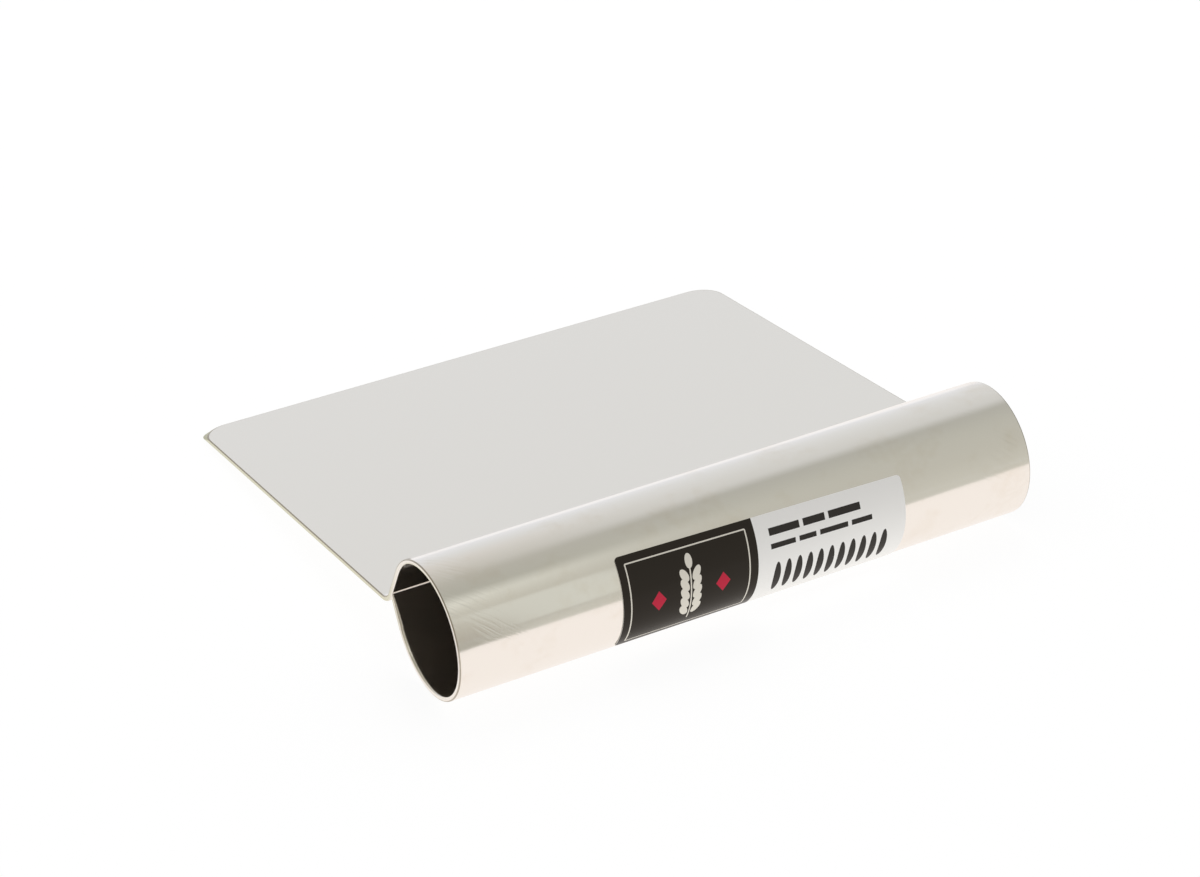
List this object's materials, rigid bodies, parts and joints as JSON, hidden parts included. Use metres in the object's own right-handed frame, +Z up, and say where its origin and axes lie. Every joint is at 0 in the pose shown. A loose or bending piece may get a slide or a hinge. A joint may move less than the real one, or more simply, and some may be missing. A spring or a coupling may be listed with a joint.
{
  "type": "dough scraper",
  "caption": "Stiff straight dough scraper: a flat stainless blade with rounded far corners, bent up and rolled at the back into an open tube handle that carries a stuck-on paper label.",
  "frame": {"origin": "middle of the outline seen from above, on the table that the handle's bottom and the blade's far edge both touch", "axes": "+X along the handle, +Y from the handle towards the blade's far edge, +Z up from the table"},
  "size_m": [0.12, 0.1165, 0.026],
  "materials": {
    "stainless_sheet": "bright rolled stainless sheet with a fine grain",
    "label_paper": "satin coated self-adhesive paper, plain two-tone print"
  },
  "bodies": {
    "root": {"rolled_sheet": "stainless_sheet", "label": "label_paper"}
  },
  "joints": []
}
